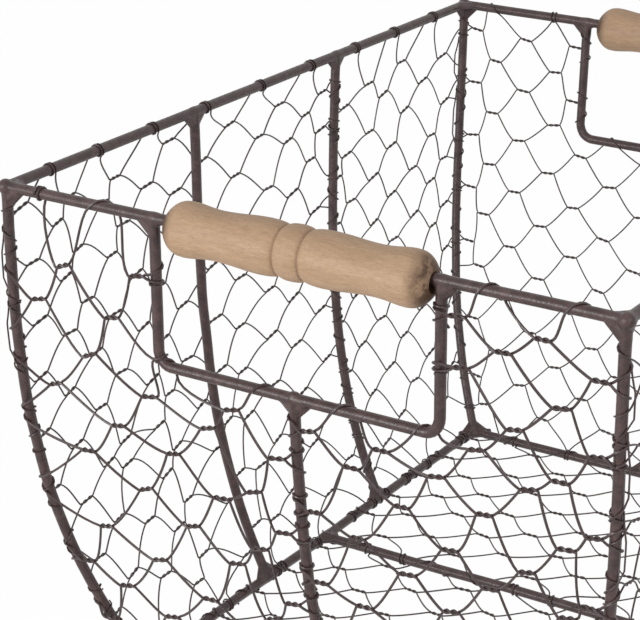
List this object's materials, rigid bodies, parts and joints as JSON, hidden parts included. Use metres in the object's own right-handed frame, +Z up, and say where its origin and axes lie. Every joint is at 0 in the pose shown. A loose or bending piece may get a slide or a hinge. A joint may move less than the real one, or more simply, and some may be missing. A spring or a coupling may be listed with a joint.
{
  "type": "wire basket",
  "caption": "Rectangular wire basket with a welded rod frame, hexagonal wire netting and turned wooden grips over its hand holes.",
  "frame": {"origin": "centre of the base, on the surface it stands on", "axes": "+Z up, Y along the long sides with the pictured end at -Y, X across between the long sides"},
  "size_m": [0.308, 0.4442, 0.2628],
  "materials": {
    "frame_paint": "satin dark brown paint",
    "net_paint": "satin dark brown paint over twisted wire",
    "turned_wood": "sanded pale hardwood, unvarnished"
  },
  "bodies": {
    "basket": {"left_rim_rod": "frame_paint", "right_rim_rod": "frame_paint", "near_rim_rod": "frame_paint", "far_rim_rod": "frame_paint", "near_left_post": "frame_paint", "near_right_post": "frame_paint", "far_left_post": "frame_paint", "far_right_post": "frame_paint", "left_near_upright": "frame_paint", "left_far_upright": "frame_paint", "right_near_upright": "frame_paint", "right_far_upright": "frame_paint", "near_hand_hole_rod": "frame_paint", "far_hand_hole_rod": "frame_paint", "near_centre_post": "frame_paint", "far_centre_post": "frame_paint", "near_base_rod": "frame_paint", "far_base_rod": "frame_paint", "left_base_rod": "frame_paint", "right_base_rod": "frame_paint", "floor_cross_rod": "frame_paint", "left_side_net": "net_paint", "right_side_net": "net_paint", "near_left_net": "net_paint", "near_right_net": "net_paint", "far_left_net": "net_paint", "far_right_net": "net_paint", "near_floor_net": "net_paint", "far_floor_net": "net_paint"},
    "near_grip_body": {"near_grip": "turned_wood"},
    "far_grip_body": {"far_grip": "turned_wood"}
  },
  "joints": [
    {"name": "near_grip_spin", "type": "hinge", "parent": "basket", "child": "near_grip_body", "pos_m": [0.00256, -0.21, 0.25068], "axis": [1, 0, 0], "continuous": true},
    {"name": "far_grip_spin", "type": "hinge", "parent": "basket", "child": "far_grip_body", "pos_m": [0.00256, 0.21, 0.25068], "axis": [1, 0, 0], "continuous": true}
  ]
}
